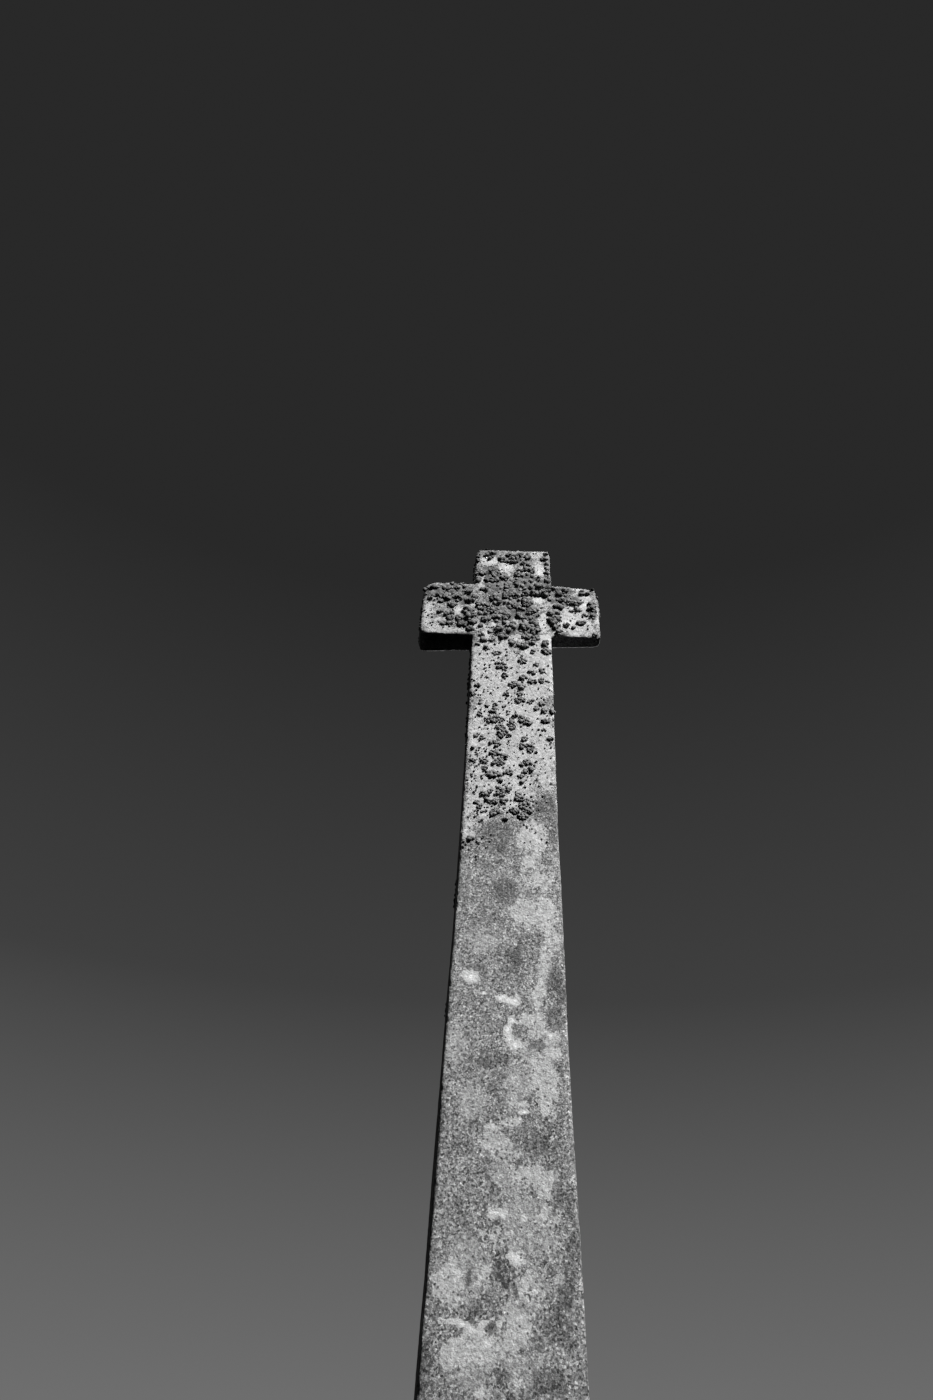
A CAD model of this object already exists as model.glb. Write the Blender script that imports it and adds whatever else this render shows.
"""Cross headstone: weathered granite and lichen over the solids, in a plain studio.

Metres, in the frame of the solids: +Z up, the front faces -Y. Places read from the photograph are
in its pixels and are carried onto the stone along the camera's own rays.
"""

import math
import random

import bmesh
import bpy
import numpy as np
from mathutils import Matrix, Vector, noise
from mathutils.bvhtree import BVHTree


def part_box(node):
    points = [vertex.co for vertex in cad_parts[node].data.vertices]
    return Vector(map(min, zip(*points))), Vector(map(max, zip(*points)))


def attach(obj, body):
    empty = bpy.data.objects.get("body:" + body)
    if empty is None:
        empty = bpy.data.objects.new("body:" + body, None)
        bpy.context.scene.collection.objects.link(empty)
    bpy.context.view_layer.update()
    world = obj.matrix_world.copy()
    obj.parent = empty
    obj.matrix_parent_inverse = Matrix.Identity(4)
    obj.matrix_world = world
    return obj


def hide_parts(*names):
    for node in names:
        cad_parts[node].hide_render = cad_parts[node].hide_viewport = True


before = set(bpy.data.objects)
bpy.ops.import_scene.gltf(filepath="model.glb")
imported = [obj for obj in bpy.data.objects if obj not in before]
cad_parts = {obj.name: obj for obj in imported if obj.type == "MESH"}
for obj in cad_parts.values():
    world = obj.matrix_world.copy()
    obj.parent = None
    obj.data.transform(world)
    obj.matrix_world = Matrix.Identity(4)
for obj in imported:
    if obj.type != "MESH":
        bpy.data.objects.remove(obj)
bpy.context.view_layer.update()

# The photograph and where it was taken from
PHOTO_WIDTH = 933
PHOTO_HEIGHT = 1400
FOCAL_PIXELS = 933
SENSOR = 36  # millimetres, along the photograph's longer side
CAMERA_PLACE = Vector((-0.088, -2.176, 1.248))
CAMERA_YAW = 1.14  # degrees, as are the next two
CAMERA_PITCH = 39.43
CAMERA_ROLL = 3.0

# The stone's surface
CROSS_VOXEL = 0.0058
BASE_VOXEL = 0.009
WELD_DISTANCE = 1e-5
CROSS_PIT_DEPTH = 0.0006
CROSS_GRAIN_DEPTH = 0.0003
CROSS_CHIP_DEPTH = 0.0035
MAT_HEIGHT = 0.0045
BASE_DRESSING_DEPTH = 0.0045
BASE_GRAIN_DEPTH = 0.001
BASE_CHIP_DEPTH = 0.007
FLAT_UNDERSIDE = 0.004  # the base stays flat this far up from the ground
FLAT_BED = 0.0012  # and is worn less this far down from its top
BED_WEAR = 0.3  # as a share of the wear elsewhere

# How pale the two stones are, the grey of hollows, and the size of the crystals
CROSS_TONE = 0.88
BASE_TONE = 0.8
HOLLOW_GREY = 0.035
LARGE_CRYSTAL = 0.0038
SMALL_CRYSTAL = 0.0023

# The soft lights on the stone: place, width, power in watts and cone in degrees
LIGHT_AIM = Vector((0, 0, 2.2))
KEY_PLACE = (5.4, -6.2, 12.5)
KEY_LIGHT = (KEY_PLACE, 1.8, 168, 40)
BACK_LIGHT = ((1.6, 7.8, 6.5), 3.0, 130, 60)
FILL_LIGHT = ((-6.5, 0.5, 5.0), 3.0, 0.6, 60)

# The floor and the surround
FLOOR_RADIUS = 150
FLOOR_GREY = 0.6
FAR_FLOOR_GREY = 0.165
FLOOR_FADE = (4, 45)  # the floor darkens between these distances
FLOOR_SUN_STRENGTH = 3
FLOOR_SUN_ANGLE = 8  # degrees
# Its greys by height: 0 is the horizon, 1 straight up
SURROUND_STOPS = ((-0.12, 0), (-0.04, 0.16), (0.02, 0.16), (0.37, 0.05), (0.72, 0.022))

# Pale crusts and bleached ground on the front: x, y, half width, half height
PALE_PATCHES = (
    (491, 562, 9, 5), (507, 568, 8, 7), (539, 569, 6, 11), (537, 555, 8, 3), (482, 588, 3, 6),
    (539, 600, 7, 3), (429, 604, 6, 5), (429, 620, 9, 12), (458, 611, 5, 4), (474, 603, 9, 3),
    (446, 618, 9, 3), (446, 629, 26, 4), (478, 623, 6, 7), (488, 630, 6, 6), (506, 623, 8, 3),
    (516, 620, 4, 3), (517, 637, 6, 4), (544, 626, 8, 12), (542, 610, 5, 7), (578, 619, 22, 17),
    (553, 602, 6, 4), (575, 592, 6, 4), (586, 598, 7, 5), (484, 642, 9, 8), (548, 640, 6, 12),
    (494, 672, 26, 34), (536, 676, 20, 34), (506, 735, 42, 46), (544, 745, 12, 44),
    (482, 790, 18, 34), (515, 790, 20, 26), (546, 776, 9, 18), (466, 818, 8, 20),
    (533, 838, 17, 16), (536, 880, 18, 10), (534, 912, 24, 16), (516, 915, 9, 5),
    (553, 938, 7, 12), (551, 954, 8, 6), (541, 985, 5, 31), (520, 1022, 10, 4), (541, 1031, 9, 8),
    (521, 1048, 7, 6), (554, 1036, 6, 8), (556, 1053, 5, 6), (540, 1066, 12, 6),
    (546, 1094, 12, 20), (517, 1119, 9, 5), (507, 1123, 9, 5), (495, 1129, 9, 5),
    (497, 1142, 16, 14), (533, 1176, 23, 12), (556, 1178, 5, 9), (544, 1208, 8, 20),
    (556, 1220, 4, 4), (497, 1238, 17, 8), (448, 1282, 16, 26), (485, 1280, 8, 12),
    (529, 1290, 10, 14), (456, 1350, 14, 20), (480, 1348, 18, 22), (515, 1330, 16, 24),
    (448, 1365, 8, 8), (480, 1394, 8, 6), (516, 1378, 6, 6), (549, 926, 8, 14), (546, 962, 7, 14),
    (538, 1003, 6, 13), (532, 1018, 12, 5), (549, 1046, 7, 12), (541, 1082, 12, 12),
    (550, 1075, 7, 12), (507, 1150, 20, 7), (545, 1192, 11, 12), (536, 1060, 14, 5),
    (531, 862, 10, 9), (522, 1105, 12, 6), (475, 1335, 26, 7), (500, 1345, 22, 10),
    (561, 1280, 5, 7),
)
# Small bright crusts with sharp edges
CRUSTS = (
    (471, 977, 6, 5), (466, 974, 4, 3), (501, 998, 5, 3.5), (508, 1000, 4, 2.5),
    (514, 1001, 6, 3.5), (484, 993, 3, 1.5), (511.5, 1020, 3, 4), (508, 1030, 3.5, 6),
    (509, 1038, 4, 4), (515, 1045, 5, 4), (492, 1213, 4, 5), (498, 1212, 4, 3), (504, 1214, 4, 4),
    (524, 1218.5, 3, 3), (518, 1259, 6, 6.5), (512, 1255, 5, 4), (457, 909, 2.5, 3),
    (441, 1321, 3, 2), (452, 1321, 6, 2.5), (462, 1324, 6, 3), (471, 1330, 5, 4),
    (480.5, 1331, 2, 6), (484, 1323, 4, 2), (492, 1320, 5, 1.5), (500, 1324, 2.5, 3),
    (487, 1344, 5, 4), (551, 1036, 3, 3), (524, 1112, 5, 2), (490, 1126, 5, 2), (507, 567, 7, 5),
    (539, 571, 5, 7), (490, 562, 8, 3), (538, 600, 6, 3), (543, 622, 4, 8), (547, 640, 5, 6),
    (570, 622, 10, 4), (585, 605, 5, 4), (427, 611, 5, 4), (459, 610, 4, 3), (494, 624, 2.5, 2),
    (487, 633, 5, 2.5),
)
# Ground where a pale crust is only starting
MOTTLED_PATCHES = (
    (450, 596, 30, 14), (481, 941, 18, 13), (500, 878, 12, 8), (531, 1048, 24, 12),
    (520, 1085, 16, 26), (505, 1180, 24, 18), (520, 1225, 30, 30), (470, 1270, 22, 34),
    (530, 1290, 20, 30), (472, 1100, 16, 20), (500, 1372, 60, 22), (545, 1240, 12, 24),
    (455, 1040, 12, 30),
)
# Dark crust and staining on the front
DARK_PATCHES = (
    (524, 590, 26, 8), (506, 612, 30, 8), (455, 596, 26, 7), (497, 836, 17, 17),
    (546, 809, 13, 14), (555, 832, 7, 12), (503, 888, 13, 14), (499, 920, 6, 5),
    (517, 958, 10, 24), (556, 981, 8, 23), (556, 1014, 8, 16), (490, 1061, 15, 9),
    (539, 1046, 6, 6), (520, 1029, 5, 5), (527, 1100, 5, 5), (539, 1146, 22, 11),
    (483, 1172, 6, 9), (495, 1189, 4, 6), (557, 1195, 6, 11), (499, 1272, 5, 10),
    (468, 1277, 3, 12), (514, 1280, 3, 9), (478, 1308, 5, 7), (565, 1305, 9, 11),
    (561, 1332, 13, 12), (502, 1377, 9, 9), (571, 1262, 7, 40), (551, 1382, 18, 16),
    (490, 1330, 6, 6), (426, 1352, 8, 18),
)
# Ground with fine cracks and pits
PITTED_PATCHES = (
    (490, 1236, 22, 22), (506, 1278, 30, 26), (534, 1296, 14, 14), (543, 1222, 8, 14),
    (480, 1312, 14, 14), (506, 1386, 26, 18), (566, 1292, 12, 10),
)
# Grey leafy mats on the head: x, y, half width, half height
MATS = (
    (448, 591, 25, 8), (436, 593, 14, 7), (466, 598, 11, 5), (493, 588, 9, 6), (531, 578, 17, 6),
    (520, 588, 24, 8), (546, 588, 8, 9), (505, 600, 16, 8), (521, 604, 12, 6), (494, 611, 15, 6),
    (469, 613, 9, 6), (501, 618, 13, 5), (533, 615, 6, 9), (521, 612, 10, 6), (498, 631, 8, 4),
    (523, 628, 9, 6), (536, 629, 6, 5), (511, 627, 7, 6), (562, 591, 9, 5), (568, 601, 14, 4),
    (592, 611, 4, 9), (514, 558, 11, 4), (493, 572, 9, 7), (561, 634, 6, 2), (486, 619, 7, 3),
    (554, 619, 7, 8), (522, 645, 9, 3), (472, 622, 5, 3),
)
# Dark knots of leafy lichen on the head: x, y, half width, half height
KNOTS = (
    (492, 553, 3, 1.5), (486, 555, 2.5, 1.5), (491, 558, 3, 1.5), (508.5, 555, 3, 1.5),
    (503, 560, 3, 2.5), (510, 562, 3, 2), (514, 557, 4, 3), (520, 555, 2.5, 1.5), (516, 561, 2, 2),
    (526, 564.5, 6.5, 1.8), (528, 557, 3, 2.5), (543, 559.5, 3.5, 1.5), (545.5, 554, 1.5, 1.5),
    (547, 564, 2, 1), (546, 567.5, 1.5, 1), (548, 570, 2, 1), (546, 573.5, 2, 1),
    (549, 580, 1.5, 4), (494.5, 571.5, 6, 4.5), (483, 574, 3, 2), (492, 580, 9, 2.3),
    (504, 578.5, 4, 3), (507, 586, 3, 3), (478, 560, 1.5, 5), (477, 572, 1.5, 5), (478, 580, 2, 3),
    (483, 589, 1.5, 1.2), (521, 570.5, 3, 1), (525.5, 569, 2, 2), (531, 571, 3, 2.5),
    (517.5, 575, 3, 2), (514, 582, 2, 2), (517, 585, 2, 1.5), (540, 586, 3, 2), (547, 589, 5, 4),
    (535, 593, 4, 2.5), (541.5, 593, 3, 2.5), (525, 594, 4, 2), (515, 596, 4, 4),
    (548, 595, 3, 1.5), (506, 595.5, 4, 3.5), (494, 598.5, 5, 3), (524, 600.5, 4, 2),
    (526.5, 604.5, 4.5, 2.5), (513, 606, 3, 2), (518, 608, 3, 2), (549.5, 599.5, 2, 1),
    (519.5, 615.5, 3, 2), (524.5, 619.5, 3, 2), (533, 622, 3.5, 1.5), (531, 612, 4, 3),
    (536.5, 625.5, 3, 1.2), (536, 630, 5, 2.3), (513, 625.5, 3, 3), (524.5, 627, 4.5, 3.5),
    (526.5, 636.5, 5, 2), (535.5, 638.5, 3, 2), (511.5, 642.5, 3, 2.5), (523, 645.5, 6, 2.2),
    (532, 642.5, 3, 2.2), (545, 644, 3.5, 2.8), (545.5, 650.5, 3, 1.8), (452, 604.5, 4, 1.8),
    (442, 601.5, 2, 1.5), (422, 600, 1.5, 1.5), (439, 611.5, 4, 1), (448, 613.5, 5, 1.5),
    (451, 617.5, 3.5, 2.3), (459, 617.5, 3, 2.3), (443, 623, 3.5, 1.4), (450, 623, 2.5, 1),
    (461.5, 624, 4.5, 2), (465, 626, 2, 1), (470, 629, 4, 1.6), (466, 610, 4, 3),
    (470, 615, 5, 2.5), (472.5, 622, 4, 2), (478.5, 604, 2, 1.5), (483.5, 604.5, 1.5, 1.5),
    (480.5, 608.5, 3, 1.5), (492, 609.5, 5, 3.5), (486, 619, 5, 2.5), (497, 617, 5, 3),
    (506, 616.5, 5, 3.5), (480.5, 625, 2, 1.5), (499, 629, 5, 2.5), (503.5, 636, 5.5, 2),
    (492, 640, 3, 1.5), (484, 640, 2.5, 2.2), (481, 635, 3, 0.8), (484.5, 647, 2, 1.5),
    (497, 603, 3, 1.5), (555, 589.5, 3, 1.5), (560.5, 594, 4, 2), (566, 590, 3, 2),
    (581.5, 593.5, 2.3, 1.6), (587, 594, 1, 1), (559, 600.5, 3.5, 1.8), (567, 602, 3, 1.5),
    (571.5, 603, 3, 1.5), (556, 606, 2.5, 1.3), (561, 607, 2.5, 1.8), (575, 605, 2, 1.3),
    (580, 603, 2.5, 1.3), (571.5, 611, 3, 1.5), (577, 609.5, 2, 1.3), (580.5, 610.5, 1.5, 1.2),
    (584.7, 615.5, 1.6, 1.6), (557, 613.5, 1.2, 1), (551, 614, 3.5, 2), (554, 620, 6, 4.5),
    (556, 626.5, 2.5, 2), (566, 625.5, 2.2, 1.8), (559, 631.8, 2, 1.2), (581, 623.5, 4.8, 2),
    (574, 628, 2, 1), (592.5, 615.5, 1.6, 1.6), (593, 609, 1.8, 3), (590, 604, 2, 1),
    (596, 597.5, 1.5, 2), (594.5, 636, 1, 2), (426, 588, 3, 1), (433, 587, 4, 1),
    (437, 595, 4, 1.3), (447, 589, 5, 1), (446, 598, 4, 1.2), (456, 588, 3, 1.5),
    (458, 596, 4, 1.2), (468, 592, 4, 1), (468, 600, 4, 1.2), (430, 598, 2, 1.2), (474, 597, 4, 1),
)
# Single pads and small clusters: x, y, size
PADS = (
    (548, 652, 4), (497, 653, 5), (500, 665, 7), (505, 669, 4), (523, 661, 7), (533, 652, 3),
    (536, 664, 3), (543, 671, 4), (532, 672, 4), (524, 678, 5), (505, 676, 4), (513, 684, 5),
    (533, 681, 5), (542, 681, 4), (477, 685, 3), (522, 687, 4), (478, 644, 2), (488, 648, 2),
    (473, 694, 3), (506, 694, 3), (520, 694, 3), (520, 700, 6), (531, 702, 4), (542, 703, 4),
    (480, 703, 2), (487, 706, 2), (495, 705, 2), (505, 706, 2), (494, 710, 5), (480, 714, 2),
    (537, 708, 3), (545, 711, 3), (553, 712, 2), (488, 720, 4), (497, 719, 9), (523, 719, 8),
    (527, 723, 5), (515, 716, 2), (512, 723, 3), (545, 721, 4), (500, 727, 6), (512, 727, 3),
    (544, 730, 2), (502, 732, 8), (501, 736, 4), (508, 736, 2), (477, 735, 3), (482, 738, 4),
    (525, 739, 5), (550, 738, 3), (497, 743, 6), (492, 742, 3), (522, 746, 3), (530, 747, 5),
    (531, 751, 3), (473, 748, 2), (494, 753, 6), (504, 757, 8), (498, 762, 7), (473, 760, 3),
    (483, 761, 4), (528, 763, 6), (522, 764, 3), (484, 768, 4), (493, 774, 9), (487, 773, 3),
    (501, 774, 4), (509, 772, 5), (526, 771, 4), (531, 769, 3), (521, 776, 3), (522, 782, 3),
    (500, 780, 2), (490, 791, 3), (485, 794, 4), (501, 792, 8), (509, 790, 3), (498, 787, 2),
    (518, 795, 4), (519, 799, 4), (504, 801, 5), (495, 801, 3), (477, 802, 3), (487, 800, 2),
    (479, 807, 3), (526, 802, 7), (523, 806, 6), (527, 810, 6), (515, 811, 5), (523, 816, 5),
    (497, 810, 4), (493, 813, 4), (506, 819, 2), (471, 838, 3), (478, 842, 2),
)
# Strewn specks: x, y, half width, half height, how many
SPECKS = (
    (480, 700, 8, 60, 60), (476, 790, 9, 40, 60), (510, 660, 38, 22, 60), (520, 720, 34, 40, 90),
    (505, 780, 34, 32, 100), (548, 700, 6, 50, 34), (576, 610, 22, 20, 50), (440, 610, 22, 18, 50),
    (508, 566, 32, 14, 50), (490, 628, 16, 14, 40), (530, 622, 16, 16, 30), (478, 842, 14, 8, 16),
    (536, 838, 16, 14, 14), (508.5, 718, 1.5, 30, 22), (500, 690, 26, 40, 90),
    (495, 800, 22, 16, 40), (540, 790, 14, 30, 20), (470, 850, 8, 12, 14),
)

# The tufts: their gaps in pixels, their radius in shares of TUFT_RADIUS, how dark they are (their
# age) and how high they rise for their width
SEED = 7
TUFT_RADIUS = 0.0062
TUFT_FORMS = 8
MAT_DENSITY = 0.1  # tufts for each square pixel of a mat's half sizes
MAT_GAP = 3.8
MAT_SIZES = (0.5, 1.5)
MAT_AGES = (-0.25, 0.1)
MAT_RISE = 0.65
KNOT_DENSITY = 0.8
KNOT_REACH = 0.8  # a knot's tufts stand within this share of its half sizes
KNOT_GAP = 1.6
KNOT_SIZES = (0.8, 1.5)
KNOT_AGES = (-0.05, 0.3)
KNOT_RISE = 0.9
PAD_TUFTS = 3  # for each step of a pad's size
PAD_GAP = 1.7
PAD_SIZES = (0.5, 1.05)
PAD_AGES = (-0.2, 0.15)
SPECK_SIZES = (0.2, 0.62)
OTHER_SIZES = (0.7, 1.3)
OTHER_AGES = (-0.12, 0.3)
OUT_OF_VIEW_TUFTS = 900
CELL_PIXELS = 4  # no gap is wider, so that near tufts are in the same cell or the next

# The patches' edges, and the rows of the photograph between which the crusts grow thicker
EDGE_PIXELS = 16  # a patch fades out over this many pixels, half of them inside its edge
GENTLEST_EDGE = 0.5  # a small patch fades from its middle to twice its size
FADE_BELOW = 40  # pixels below the photograph over which other growth takes over
THIN_CRUST_ROW = 650
THICK_CRUST_ROW = 950


def photo_turn():
    """The camera's turn, from its own axes to the frame's."""
    yaw = Matrix.Rotation(math.radians(CAMERA_YAW), 3, "Z")
    pitch = Matrix.Rotation(math.radians(90 + CAMERA_PITCH), 3, "X")
    roll = Matrix.Rotation(math.radians(CAMERA_ROLL), 3, "Z")
    return yaw @ pitch @ roll


def photo_places(points):
    """The photograph's x and y of each point."""
    seen = (points - np.array(CAMERA_PLACE)) @ np.array(photo_turn())
    scale = FOCAL_PIXELS / -seen[:, 2]
    return PHOTO_WIDTH / 2 + seen[:, 0] * scale, PHOTO_HEIGHT / 2 - seen[:, 1] * scale


def photo_ray(x, y):
    """The direction from the camera through this pixel of the photograph."""
    ray = Vector((x - PHOTO_WIDTH / 2, PHOTO_HEIGHT / 2 - y, -FOCAL_PIXELS))
    return (photo_turn() @ ray).normalized()


def rough(points, size, seed):
    """Smooth noise from -1 to 1 at each point, with features about this size."""
    shift = Vector((seed * 17.3, seed * 5.1, seed * 11.7))
    return np.array([noise.noise(Vector(point) / size + shift) for point in points])


def soft_step(values, low, high):
    """0 up to low, 1 from high on, and a smooth rise between them."""
    share = np.clip((values - low) / (high - low), 0, 1)
    return share * share * (3 - 2 * share)


def patch_amounts(across, down, patches):
    """How far inside the nearest patch each place is: 0.5 at its edge, more towards its middle."""
    amounts = np.zeros(len(across))
    for x, y, half_width, half_height in patches:
        away = np.hypot((across - x) / half_width, (down - y) / half_height)
        steepness = max(min(half_width, half_height) / EDGE_PIXELS, GENTLEST_EDGE)
        amounts = np.maximum(amounts, np.clip(0.5 + (1 - away) * steepness, 0, 1))
    return amounts


def link(item):
    """Puts an object in the scene."""
    bpy.context.scene.collection.objects.link(item)
    return item


def fine_copy(node, name, voxel):
    """A new object with the node's form in an even, fine mesh."""
    welded = bmesh.new()
    welded.from_mesh(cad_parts[node].data)
    bmesh.ops.remove_doubles(welded, verts=welded.verts, dist=WELD_DISTANCE)
    coarse = bpy.data.meshes.new(name + "_coarse")
    welded.to_mesh(coarse)
    welded.free()
    coarse_object = link(bpy.data.objects.new(name + "_coarse", coarse))
    remesh = coarse_object.modifiers.new("Even mesh", "REMESH")
    remesh.mode = "VOXEL"
    remesh.voxel_size = voxel
    graph = bpy.context.evaluated_depsgraph_get()
    mesh = bpy.data.meshes.new_from_object(coarse_object.evaluated_get(graph))
    bpy.data.objects.remove(coarse_object)
    mesh.name = name
    mesh.shade_smooth()
    return link(bpy.data.objects.new(name, mesh))


def numbers_of(mesh, kind):
    """Three numbers for each vertex: its place with "co", its normal with "normal"."""
    numbers = np.empty(len(mesh.vertices) * 3)
    mesh.vertices.foreach_get(kind, numbers)
    return numbers.reshape(-1, 3)


def store(mesh, name, values):
    """Keeps one number for each vertex, for the material to read."""
    made = mesh.attributes.new(name, "FLOAT", "POINT")
    made.data.foreach_set("value", np.asarray(values, dtype=np.float32))


def weather_cross(stone):
    """Pits the faces, chips the arrises, raises the mats and stores where all the growth is."""
    mesh = stone.data
    points = numbers_of(mesh, "co")
    normals = numbers_of(mesh, "normal")
    arris = soft_step(1 - np.abs(normals).max(axis=1), 0.02, 0.2)
    chips = soft_step(rough(points, 0.022, 1) + 0.4 * rough(points, 0.009, 2), 0.25, 0.6)
    pits = soft_step(rough(points, 0.011, 3), 0.05, 0.6)
    grain = rough(points, 0.0075, 4)
    sunk = CROSS_PIT_DEPTH * pits + CROSS_GRAIN_DEPTH * grain + CROSS_CHIP_DEPTH * arris * chips

    across, down = photo_places(points)
    pictured = soft_step(-normals[:, 1], 0.2, 0.6)
    pictured *= soft_step(PHOTO_HEIGHT - down, -FADE_BELOW, 0)

    def growth(patches, elsewhere):
        """The patches where the photograph shows the stone, and these amounts elsewhere."""
        amounts = patch_amounts(across, down, patches)
        return elsewhere + (amounts - elsewhere) * pictured

    foot, crown = (corner.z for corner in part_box("cross"))
    height = (points[:, 2] - foot) / (crown - foot)
    wild_mats = 3.2 * height - 2.7 + 0.6 * rough(points, 0.09, 14) + 0.4 * rough(points, 0.04, 15)
    mats = growth(MATS, wild_mats)
    lobes = soft_step(rough(points, 0.015, 16) + 0.6 * rough(points, 0.008, 17), -0.3, 0.5)
    raised = MAT_HEIGHT * soft_step(mats, 0.4, 0.6) * lobes
    moved = points + normals * (raised - sunk)[:, None]
    moved[:, 2] = np.maximum(moved[:, 2], foot)
    mesh.vertices.foreach_set("co", moved.ravel())

    broad = rough(points, 0.16, 5) + 0.5 * rough(points, 0.05, 6)
    sheltered = soft_step(-normals[:, 2], 0.5, 0.9)
    wild_pale = 0.42 + 0.5 * broad + 0.25 * soft_step(height, 0.45, 0.8) - sheltered
    wild_dark = 0.3 - 0.45 * broad + 0.25 * soft_step(-height, -0.12, 0) + 0.6 * sheltered
    thickness = 1 + 0.3 * soft_step(down, THIN_CRUST_ROW, THICK_CRUST_ROW)
    store(mesh, "pale", growth(PALE_PATCHES, wild_pale))
    store(mesh, "dark", growth(DARK_PATCHES, wild_dark))
    store(mesh, "flecks", growth(MOTTLED_PATCHES, 0.5))
    store(mesh, "crust", growth(CRUSTS, 0) * thickness)
    store(mesh, "pitted", growth(PITTED_PATCHES, 0))
    store(mesh, "mat", mats)
    store(mesh, "lobes", lobes)
    mesh.update()


def weather_base(stone):
    """Leaves the sides rough from the punch, the top worn, and dirt near the ground."""
    mesh = stone.data
    points = numbers_of(mesh, "co")
    normals = numbers_of(mesh, "normal")
    side = soft_step(1 - np.abs(normals[:, 2]), 0.2, 0.8)
    arris = soft_step(1 - np.abs(normals).max(axis=1), 0.03, 0.25)
    chips = soft_step(rough(points, 0.04, 7) + 0.5 * rough(points, 0.016, 8), 0.2, 0.7)
    dressing = soft_step(rough(points, 0.045, 9) + 0.5 * rough(points, 0.018, 10), -0.3, 0.7)
    grain = soft_step(rough(points, 0.012, 11), -0.2, 0.7)
    sunk = BASE_DRESSING_DEPTH * side * dressing + BASE_GRAIN_DEPTH * grain
    sunk += BASE_CHIP_DEPTH * arris * chips
    low, high = (corner.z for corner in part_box("base_stone"))
    sunk[points[:, 2] < low + FLAT_UNDERSIDE] = 0
    sunk[(points[:, 2] > high - FLAT_BED) & (side < 0.1)] *= BED_WEAR
    mesh.vertices.foreach_set("co", (points - normals * sunk[:, None]).ravel())

    broad = rough(points, 0.12, 12) + 0.5 * rough(points, 0.04, 13)
    height = (points[:, 2] - low) / (high - low)
    store(mesh, "flecks", 0.3 + 0.5 * broad)
    store(mesh, "pale", 0.36 + 0.5 * broad)
    store(mesh, "dark", 0.34 - 0.4 * broad + 0.35 * soft_step(-height, -0.35, 0))
    for name in ("crust", "pitted", "mat", "lobes"):
        store(mesh, name, np.zeros(len(points)))
    mesh.update()


class Nodes:
    """Short names for building one material's nodes."""

    def __init__(self, name):
        self.material = bpy.data.materials.new(name)
        self.material.use_nodes = True
        self.tree = self.material.node_tree
        self.shader = self.tree.nodes["Principled BSDF"]
        self.place = self.new("ShaderNodeTexCoord").outputs["Object"]

    def new(self, kind, **settings):
        made = self.tree.nodes.new(kind)
        for key, value in settings.items():
            setattr(made, key, value)
        return made

    def join(self, source, target):
        """Links a socket, or sets a number or a grey."""
        if isinstance(source, bpy.types.NodeSocket):
            self.tree.links.new(source, target)
        elif target.type == "RGBA":
            target.default_value = (source, source, source, 1)
        else:
            target.default_value = source

    def noise(self, size, detail=2, roughness=0.5, squeeze=(1, 1, 1)):
        """Noise with features of about this size, drawn out where the squeeze is under 1."""
        made = self.new("ShaderNodeTexNoise")
        squeezed = self.new("ShaderNodeMapping")
        self.join(self.place, squeezed.inputs["Vector"])
        squeezed.inputs["Scale"].default_value = squeeze
        self.join(squeezed.outputs["Vector"], made.inputs["Vector"])
        made.inputs["Scale"].default_value = 1 / size
        made.inputs["Detail"].default_value = detail
        made.inputs["Roughness"].default_value = roughness
        return made.outputs["Fac"]

    def crystals(self, size, feature="F1"):
        made = self.new("ShaderNodeTexVoronoi", feature=feature)
        self.join(self.place, made.inputs["Vector"])
        made.inputs["Scale"].default_value = 1 / size
        return made

    def attribute(self, name):
        return self.new("ShaderNodeAttribute", attribute_name=name).outputs["Fac"]

    def math(self, operation, first, second=0.0):
        made = self.new("ShaderNodeMath", operation=operation)
        self.join(first, made.inputs[0])
        self.join(second, made.inputs[1])
        return made.outputs[0]

    def swing(self, value, width):
        """A value around a half, moved to swing around 0 over this width."""
        return self.math("MULTIPLY", self.math("SUBTRACT", value, 0.5), width)

    def remap(self, value, low, high, to_low=0.0, to_high=1.0):
        made = self.new("ShaderNodeMapRange", interpolation_type="SMOOTHSTEP")
        self.join(value, made.inputs["Value"])
        made.inputs["From Min"].default_value = low
        made.inputs["From Max"].default_value = high
        made.inputs["To Min"].default_value = to_low
        made.inputs["To Max"].default_value = to_high
        return made.outputs["Result"]

    def mask(self, name, broken, low, high):
        """Where the amount of this name, broken up by noise, goes from low to high."""
        return self.remap(self.math("ADD", self.attribute(name), broken), low, high)

    def mix(self, share, first, second, blend="MIX"):
        made = self.new("ShaderNodeMix", data_type="RGBA", blend_type=blend)
        self.join(share, made.inputs["Factor"])
        self.join(first, made.inputs[6])
        self.join(second, made.inputs[7])
        return made.outputs[2]

    def times(self, first, second):
        return self.mix(1.0, first, second, "MULTIPLY")

    def cover(self, colour, mask, share, top):
        """The colour with this share of another over it where the mask is."""
        return self.mix(self.math("MULTIPLY", mask, share), colour, top)

    def ramp(self, value, stops):
        """Greys at places from 0 to 1."""
        made = self.new("ShaderNodeValToRGB")
        self.join(value, made.inputs["Fac"])
        elements = made.color_ramp.elements
        while len(elements) < len(stops):
            elements.new(0.5)
        for element, (place, grey) in zip(elements, stops):
            element.position = place
            element.color = (grey, grey, grey, 1)
        return made.outputs["Color"]

    def bump(self, height, distance, strength=1.0, below=None):
        made = self.new("ShaderNodeBump")
        self.join(height, made.inputs["Height"])
        made.inputs["Distance"].default_value = distance
        made.inputs["Strength"].default_value = strength
        if below is not None:
            self.join(below, made.inputs["Normal"])
        return made.outputs["Normal"]


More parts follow.
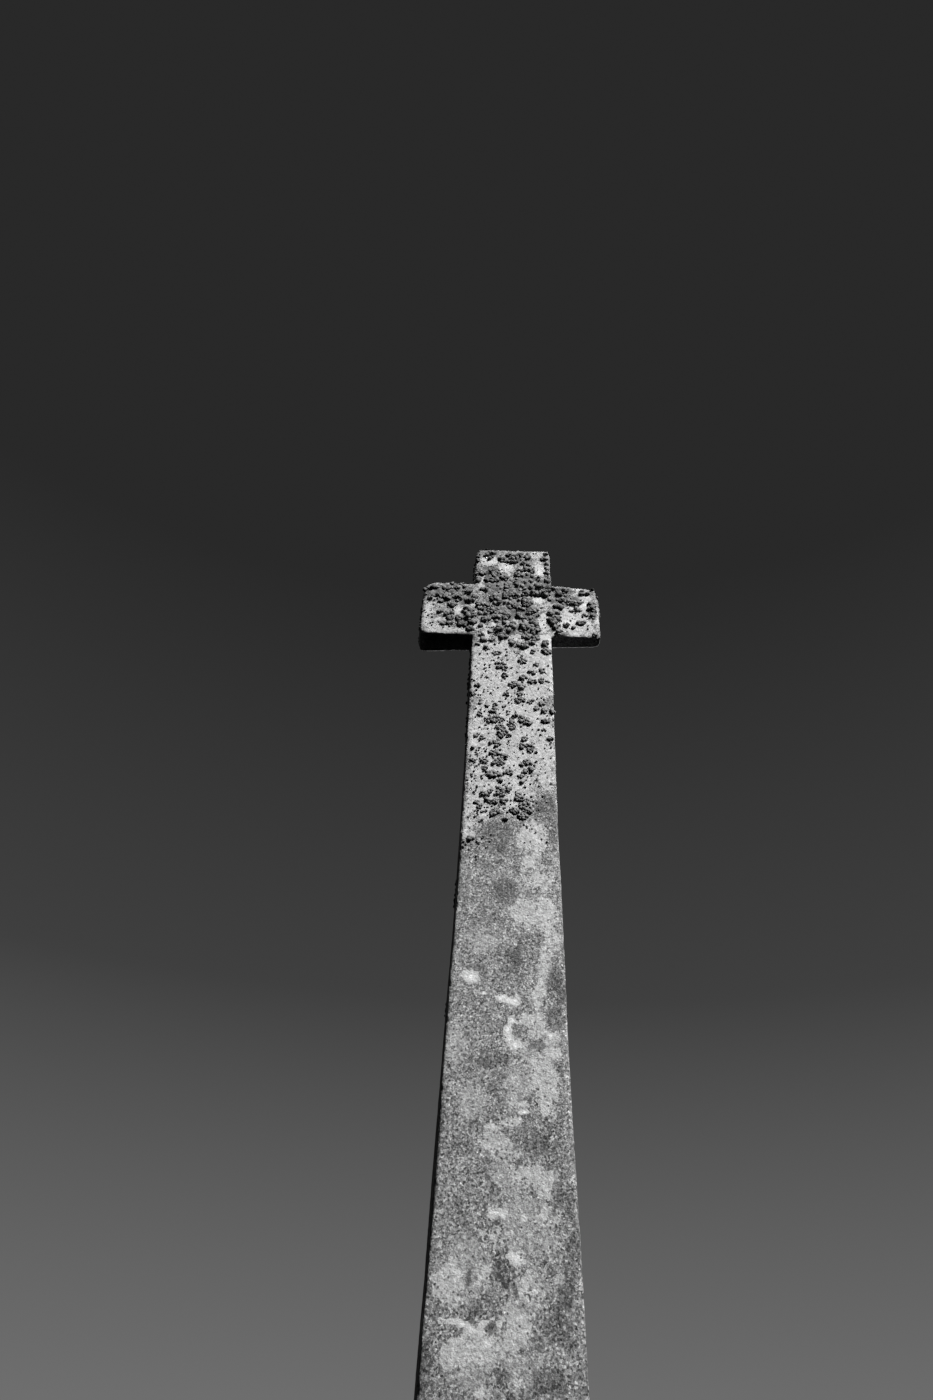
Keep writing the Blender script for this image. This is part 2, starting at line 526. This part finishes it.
def bare_stone(made, large, small, tone):
    """The granite's own grey, from its large and small crystals, with faint upright runs."""
    stone = made.ramp(large, ((0.05, 0.03), (0.22, 0.13), (0.5, 0.27), (0.8, 0.44), (0.95, 0.68)))
    stone = made.times(stone, made.ramp(small, ((0.05, 0.3), (0.3, 0.8), (0.7, 1.15), (0.95, 1.8))))
    runs = made.noise(0.014, 4, 0.6, squeeze=(1, 1, 0.35))
    stone = made.times(stone, made.remap(runs, 0.3, 0.7, to_low=0.72, to_high=1.28))
    return made.times(stone, tone)


def leafy_ground(made):
    """The grey of a mat of leafy lichen, darker between its lobes."""
    leaves = made.math("MULTIPLY", made.noise(0.006, 3, 0.65), 0.9)
    leaves = made.math("ADD", leaves, made.math("MULTIPLY", made.attribute("lobes"), 0.4))
    return made.ramp(leaves, ((0.3, 0.03), (0.45, 0.1), (0.7, 0.17), (0.95, 0.27)))


def pock_marks(made):
    """A mask of small round hollows, in some of the cells alone."""
    cells = made.crystals(0.013)
    hollows = made.remap(cells.outputs["Distance"], 0.2, 0.14)
    chosen = made.ramp(cells.outputs["Color"], ((0.4, 0), (0.45, 0.85)))
    return made.math("MULTIPLY", hollows, chosen)


def granite(name, tone):
    """Grey granite of mixed crystals, under pale and dark crusts with lobed edges."""
    made = Nodes(name)
    large = made.crystals(LARGE_CRYSTAL).outputs["Color"]
    small = made.crystals(SMALL_CRYSTAL).outputs["Color"]
    stone = bare_stone(made, large, small, tone)

    ragged = made.swing(made.noise(0.04, 6, 0.68), 2.0)
    lobes = made.math("SUBTRACT", 0.42, made.crystals(0.018, "SMOOTH_F1").outputs["Distance"])
    edge = made.math("ADD", ragged, made.math("MULTIPLY", lobes, 0.5))
    speckled = made.swing(made.noise(0.011, 4, 0.7), 2.6)
    broken = made.math("ADD", edge, made.math("MULTIPLY", speckled, 0.6))

    pale = made.ramp(large, ((0.06, 0.2), (0.2, 0.44), (0.9, 0.65)))
    pale = made.times(pale, made.remap(made.noise(0.012, 4), 0.3, 0.7, to_low=0.78, to_high=1.12))
    dark = made.times(stone, 0.5)
    colour = made.cover(stone, made.mask("flecks", speckled, 0.5, 0.7), 0.45, pale)
    colour = made.cover(colour, made.mask("pale", broken, 0.47, 0.62), 0.9, pale)
    colour = made.cover(colour, made.mask("dark", broken, 0.46, 0.64), 0.8, dark)

    cracks = made.remap(made.noise(0.012, 3, 0.65, squeeze=(1, 1, 0.75)), 0.45, 0.4)
    cracks = made.math("MULTIPLY", cracks, made.attribute("pitted"))
    colour = made.cover(colour, cracks, 0.85, HOLLOW_GREY)
    colour = made.mix(made.mask("mat", edge, 0.45, 0.55), colour, leafy_ground(made))

    crumbs = made.swing(made.noise(0.009, 4, 0.65), 1.4)
    bright = made.remap(made.noise(0.006, 3), 0.3, 0.7, to_low=0.5, to_high=0.66)
    thick = made.remap(made.attribute("crust"), 0.7, 1.2, to_low=1.0, to_high=1.6)
    bright = made.math("MULTIPLY", bright, thick)
    colour = made.cover(colour, made.mask("crust", crumbs, 0.42, 0.5), 0.9, bright)
    colour = made.mix(pock_marks(made), colour, HOLLOW_GREY)
    made.join(colour, made.shader.inputs["Base Color"])

    roughness = made.remap(made.noise(0.004, 1), 0.3, 0.7, to_low=0.78, to_high=0.95)
    made.join(roughness, made.shader.inputs["Roughness"])
    made.shader.inputs["Specular IOR Level"].default_value = 0.3
    pitted = made.bump(made.noise(0.0075, 3, 0.65), 0.003, 0.7)
    made.join(made.bump(small, 0.0006, 0.5, pitted), made.shader.inputs["Normal"])
    return made.material


def lichen_skin():
    """Leafy lichen: black in its folds, grey on its lobes, darker where it is old."""
    made = Nodes("lichen")
    lobes = made.noise(0.0035, 3, 0.6)
    height = made.attribute("height")
    tone = made.math("ADD", made.math("MULTIPLY", height, 0.75), made.math("MULTIPLY", lobes, 0.5))
    tone = made.math("SUBTRACT", tone, made.attribute("age"))
    colour = made.ramp(tone, ((0.25, 0.015), (0.5, 0.05), (0.72, 0.12), (0.95, 0.25)))
    made.join(colour, made.shader.inputs["Base Color"])
    roughness = made.remap(lobes, 0.3, 0.7, to_low=0.75, to_high=0.95)
    made.join(roughness, made.shader.inputs["Roughness"])
    made.shader.inputs["Specular IOR Level"].default_value = 0.2
    made.join(made.bump(lobes, 0.0015), made.shader.inputs["Normal"])
    return made.material


def tuft_forms(draw, fineness):
    """Crumpled lobed lumps of unit radius that stand on their own z = 0."""
    forms = []
    for number in range(TUFT_FORMS):
        lump = bmesh.new()
        bmesh.ops.create_icosphere(lump, subdivisions=fineness, radius=1)
        shift = Vector((number * 3.7, number * 1.9, number * 7.3))
        lobes = draw.randint(4, 6)
        phase = draw.uniform(0, math.tau)
        for vertex in lump.verts:
            way = vertex.co.copy()
            turn = math.atan2(way.y, way.x)
            reach = 1 + 0.2 * math.sin(lobes * turn + phase) * math.hypot(way.x, way.y)
            reach += 0.38 * noise.noise(way * 2.3 + shift) + 0.22 * noise.noise(way * 5 + shift)
            up = way.z * (0.85 if way.z > 0 else 0.3)
            vertex.co = Vector((way.x * reach, way.y * reach, up * reach + 0.1))
        lump.verts.index_update()
        points = np.array([vertex.co[:] for vertex in lump.verts])
        faces = np.array([[corner.index for corner in face.verts] for face in lump.faces])
        lump.free()
        forms.append((points, faces))
    return forms


class Surface:
    """The cross's fine surface, to place tufts on."""

    def __init__(self, mesh):
        self.mesh = mesh
        points = [Vector(point) for point in numbers_of(mesh, "co")]
        polygons = [tuple(polygon.vertices) for polygon in mesh.polygons]
        self.tree = BVHTree.FromPolygons(points, polygons)

    def under_pixel(self, x, y):
        """The place and normal that this pixel shows, or nothing."""
        place, normal, _, _ = self.tree.ray_cast(CAMERA_PLACE, photo_ray(x, y))
        return None if place is None else (place, normal)


def spread(draw, x, y, half_width, half_height, count, gap, taken):
    """Pixels strewn in an ellipse, at least a gap from those taken already, as far as they fit."""
    for _ in range(count * 3):
        if count == 0:
            return
        turn = draw.uniform(0, math.tau)
        out = math.sqrt(draw.random())
        spot = (x + half_width * out * math.cos(turn), y + half_height * out * math.sin(turn))
        cell = (int(spot[0] // CELL_PIXELS), int(spot[1] // CELL_PIXELS))
        near = [
            other
            for right in (-1, 0, 1)
            for below in (-1, 0, 1)
            for other in taken.get((cell[0] + right, cell[1] + below), ())
        ]
        if all(math.hypot(spot[0] - other[0], spot[1] - other[1]) > gap for other in near):
            taken.setdefault(cell, []).append(spot)
            count -= 1
            yield spot


def spots_in_mats(draw):
    """Pixels for the mats' tufts, one mat after the other."""
    taken = {}
    for x, y, half_width, half_height in MATS:
        count = round(MAT_DENSITY * half_width * half_height)
        yield from spread(draw, x, y, half_width, half_height, count, MAT_GAP, taken)


def spots_in_knots(draw):
    """Pixels for the knots' tufts, at least one in each knot that has room."""
    taken = {}
    for x, y, half_width, half_height in KNOTS:
        count = 1 + round(KNOT_DENSITY * half_width * half_height)
        wide = half_width * KNOT_REACH
        high = half_height * KNOT_REACH
        yield from spread(draw, x, y, wide, high, count, KNOT_GAP, taken)


def spots_in_pads(draw):
    """Pixels for the pads' tufts, each pad a low oval of its own shape."""
    taken = {}
    for x, y, size in PADS:
        reach = 2.0 * math.sqrt(size) - 1.0
        wide = reach * draw.uniform(0.8, 1.25)
        high = reach * draw.uniform(0.5, 0.9)
        yield from spread(draw, x, y, wide, high, PAD_TUFTS * size, PAD_GAP, taken)


def spots_of_specks(draw):
    """Pixels for single specks, strewn evenly over each place."""
    for x, y, half_width, half_height, count in SPECKS:
        for _ in range(count):
            yield x + half_width * draw.uniform(-1, 1), y + half_height * draw.uniform(-1, 1)


def seats_at(spots, surface, draw, sizes):
    """Places for tufts where these pixels show the stone: (place, normal, radius)."""
    seats = []
    for x, y in spots:
        hit = surface.under_pixel(x, y)
        if hit:
            seats.append((*hit, TUFT_RADIUS * draw.uniform(*sizes)))
    return seats


def seats_out_of_view(surface, draw):
    """Places for tufts on the faces that the photograph doesn't show, thickest at the head."""
    seats = []
    mesh = surface.mesh
    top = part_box("cross")[1].z
    while len(seats) < OUT_OF_VIEW_TUFTS:
        polygon = mesh.polygons[draw.randrange(len(mesh.polygons))]
        place, normal = polygon.center, polygon.normal
        clumps = noise.noise(place * 14) + 0.6 * noise.noise(place * 5)
        rarity = (top - place.z) * 0.55 - 0.25 - 0.3 * max(normal.z, 0)
        if normal.y > -0.3 and normal.z > -0.5 and clumps > rarity:
            size = draw.uniform(*OTHER_SIZES) * (0.5 if abs(normal.x) > 0.5 else 1)
            seats.append((place.copy(), normal.copy(), TUFT_RADIUS * size))
    return seats


def tuft_mesh(name, seats, forms, draw, material, ages=OTHER_AGES, rise=1.0):
    """One mesh of all the tufts at these seats; those of the highest age are the darkest."""
    points, faces, heights, ages_of_points = [], [], [], []
    count = 0
    for place, normal, radius in seats:
        form, form_faces = forms[draw.randrange(len(forms))]
        turn = normal.to_track_quat("Z", "Y").to_matrix()
        turn = turn @ Matrix.Rotation(draw.uniform(0, math.tau), 3, "Z")
        size = np.array([draw.uniform(0.8, 1.25), draw.uniform(0.8, 1.25), draw.uniform(0.8, 1.3)])
        size[2] *= rise
        points.append((form * size * radius) @ np.array(turn).T + np.array(place))
        faces.append(form_faces + count)
        heights.append(np.clip(form[:, 2] / 0.8, 0, 1))
        ages_of_points.append(np.full(len(form), draw.uniform(*ages)))
        count += len(form)
    mesh = bpy.data.meshes.new(name)
    mesh.from_pydata(np.concatenate(points).tolist(), [], np.concatenate(faces).tolist())
    mesh.shade_smooth()
    mesh.materials.append(material)
    store(mesh, "height", np.concatenate(heights))
    store(mesh, "age", np.concatenate(ages_of_points))
    piece = link(bpy.data.objects.new(name, mesh))
    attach(piece, "root")
    return piece


def grow_lichen(cross):
    """Lichen where the photograph has it, of four kinds, and tufts on the faces out of view."""
    draw = random.Random(SEED)
    skin = lichen_skin()
    forms = tuft_forms(draw, fineness=2)
    small_forms = tuft_forms(draw, fineness=1)
    surface = Surface(cross.data)
    mats = seats_at(spots_in_mats(draw), surface, draw, MAT_SIZES)
    mats = tuft_mesh("lichen_mats", mats, forms, draw, skin, MAT_AGES, MAT_RISE)
    knots = seats_at(spots_in_knots(draw), surface, draw, KNOT_SIZES)
    knots = tuft_mesh("lichen_knots", knots, forms, draw, skin, KNOT_AGES, KNOT_RISE)
    pads = seats_at(spots_in_pads(draw), surface, draw, PAD_SIZES)
    pads = tuft_mesh("lichen_pads", pads, forms, draw, skin, PAD_AGES)
    specks = seats_at(spots_of_specks(draw), surface, draw, SPECK_SIZES)
    specks = tuft_mesh("lichen_specks", specks, small_forms, draw, skin)
    others = seats_out_of_view(surface, draw)
    others = tuft_mesh("lichen_out_of_view", others, forms, draw, skin)
    return [mats, knots, pads, specks, others]


def light_only(light, pieces):
    """Lets this light fall on these pieces alone."""
    lit = bpy.data.collections.new(light.name + "_lights")
    for piece in pieces:
        lit.objects.link(piece)
    light.light_linking.receiver_collection = lit


def area_light(name, place, width, power, cone, pieces):
    """A round soft light on these pieces, aimed at the middle of the cross."""
    data = bpy.data.lights.new(name, "AREA")
    data.shape = "DISK"
    data.size = width
    data.energy = power
    data.spread = math.radians(cone)
    light = link(bpy.data.objects.new(name, data))
    light.location = place
    light.rotation_euler = (LIGHT_AIM - Vector(place)).to_track_quat("-Z", "Y").to_euler()
    light_only(light, pieces)


def make_floor():
    """A pale floor that darkens far off, to meet the surround."""
    mesh = bpy.data.meshes.new("floor")
    disc = bmesh.new()
    bmesh.ops.create_circle(disc, cap_ends=True, radius=FLOOR_RADIUS, segments=96)
    disc.to_mesh(mesh)
    disc.free()
    floor = link(bpy.data.objects.new("floor", mesh))
    floor.visible_diffuse = False  # its own light stays off the undersides, as in the photograph
    floor.visible_glossy = False
    paper = Nodes("floor")
    away = paper.new("ShaderNodeVectorMath", operation="LENGTH")
    paper.join(paper.place, away.inputs[0])
    far = paper.remap(away.outputs["Value"], *FLOOR_FADE)
    paper.join(paper.mix(far, FLOOR_GREY, FAR_FLOOR_GREY), paper.shader.inputs["Base Color"])
    paper.shader.inputs["Roughness"].default_value = 0.9
    mesh.materials.append(paper.material)
    return floor


def make_surround():
    """A dim grey surround without diffuse light, palest at the horizon and black well below it."""
    world = bpy.data.worlds.new("surround")
    bpy.context.scene.world = world
    world.use_nodes = True
    world.cycles_visibility.diffuse = False
    nodes = world.node_tree.nodes
    links = world.node_tree.links
    way = nodes.new("ShaderNodeTexCoord")
    parts = nodes.new("ShaderNodeSeparateXYZ")
    share = nodes.new("ShaderNodeMapRange")
    share.inputs["From Min"].default_value = -1
    ramp = nodes.new("ShaderNodeValToRGB")
    links.new(way.outputs["Generated"], parts.inputs["Vector"])
    links.new(parts.outputs["Z"], share.inputs["Value"])
    links.new(share.outputs["Result"], ramp.inputs["Fac"])
    links.new(ramp.outputs["Color"], nodes["Background"].inputs["Color"])
    elements = ramp.color_ramp.elements
    while len(elements) < len(SURROUND_STOPS):
        elements.new(0.5)
    for element, (height, grey) in zip(elements, SURROUND_STOPS):
        element.position = (height + 1) / 2
        element.color = (grey, grey, grey, 1)


def make_studio(pieces):
    """A floor with a sun of its own, and on the stone a key light, one behind and a weak fill."""
    floor = make_floor()
    area_light("key", *KEY_LIGHT, pieces)
    area_light("back", *BACK_LIGHT, pieces)
    sun = bpy.data.lights.new("floor_sun", "SUN")
    sun.energy = FLOOR_SUN_STRENGTH
    sun.angle = math.radians(FLOOR_SUN_ANGLE)
    floor_sun = link(bpy.data.objects.new("floor_sun", sun))
    floor_sun.rotation_euler = Vector(KEY_PLACE).to_track_quat("Z", "Y").to_euler()
    light_only(floor_sun, [floor])
    area_light("fill", *FILL_LIGHT, pieces)
    make_surround()


def make_camera():
    """The photograph's camera."""
    data = bpy.data.cameras.new("camera")
    data.sensor_width = SENSOR
    data.lens = SENSOR * FOCAL_PIXELS / PHOTO_HEIGHT
    camera = link(bpy.data.objects.new("camera", data))
    camera.location = CAMERA_PLACE
    camera.rotation_euler = photo_turn().to_euler()
    bpy.context.scene.camera = camera


def main():
    cross = fine_copy("cross", "cross_stone", CROSS_VOXEL)
    weather_cross(cross)
    cross.data.materials.append(granite("cross_granite_weathered", CROSS_TONE))
    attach(cross, "root")
    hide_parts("cross")

    base = fine_copy("base_stone", "base_block", BASE_VOXEL)
    weather_base(base)
    base.data.materials.append(granite("base_granite_weathered", BASE_TONE))
    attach(base, "root")
    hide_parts("base_stone")

    lichen = grow_lichen(cross)
    make_studio([cross, base, *lichen])
    make_camera()
    bpy.context.scene.view_settings.view_transform = "Standard"


main()
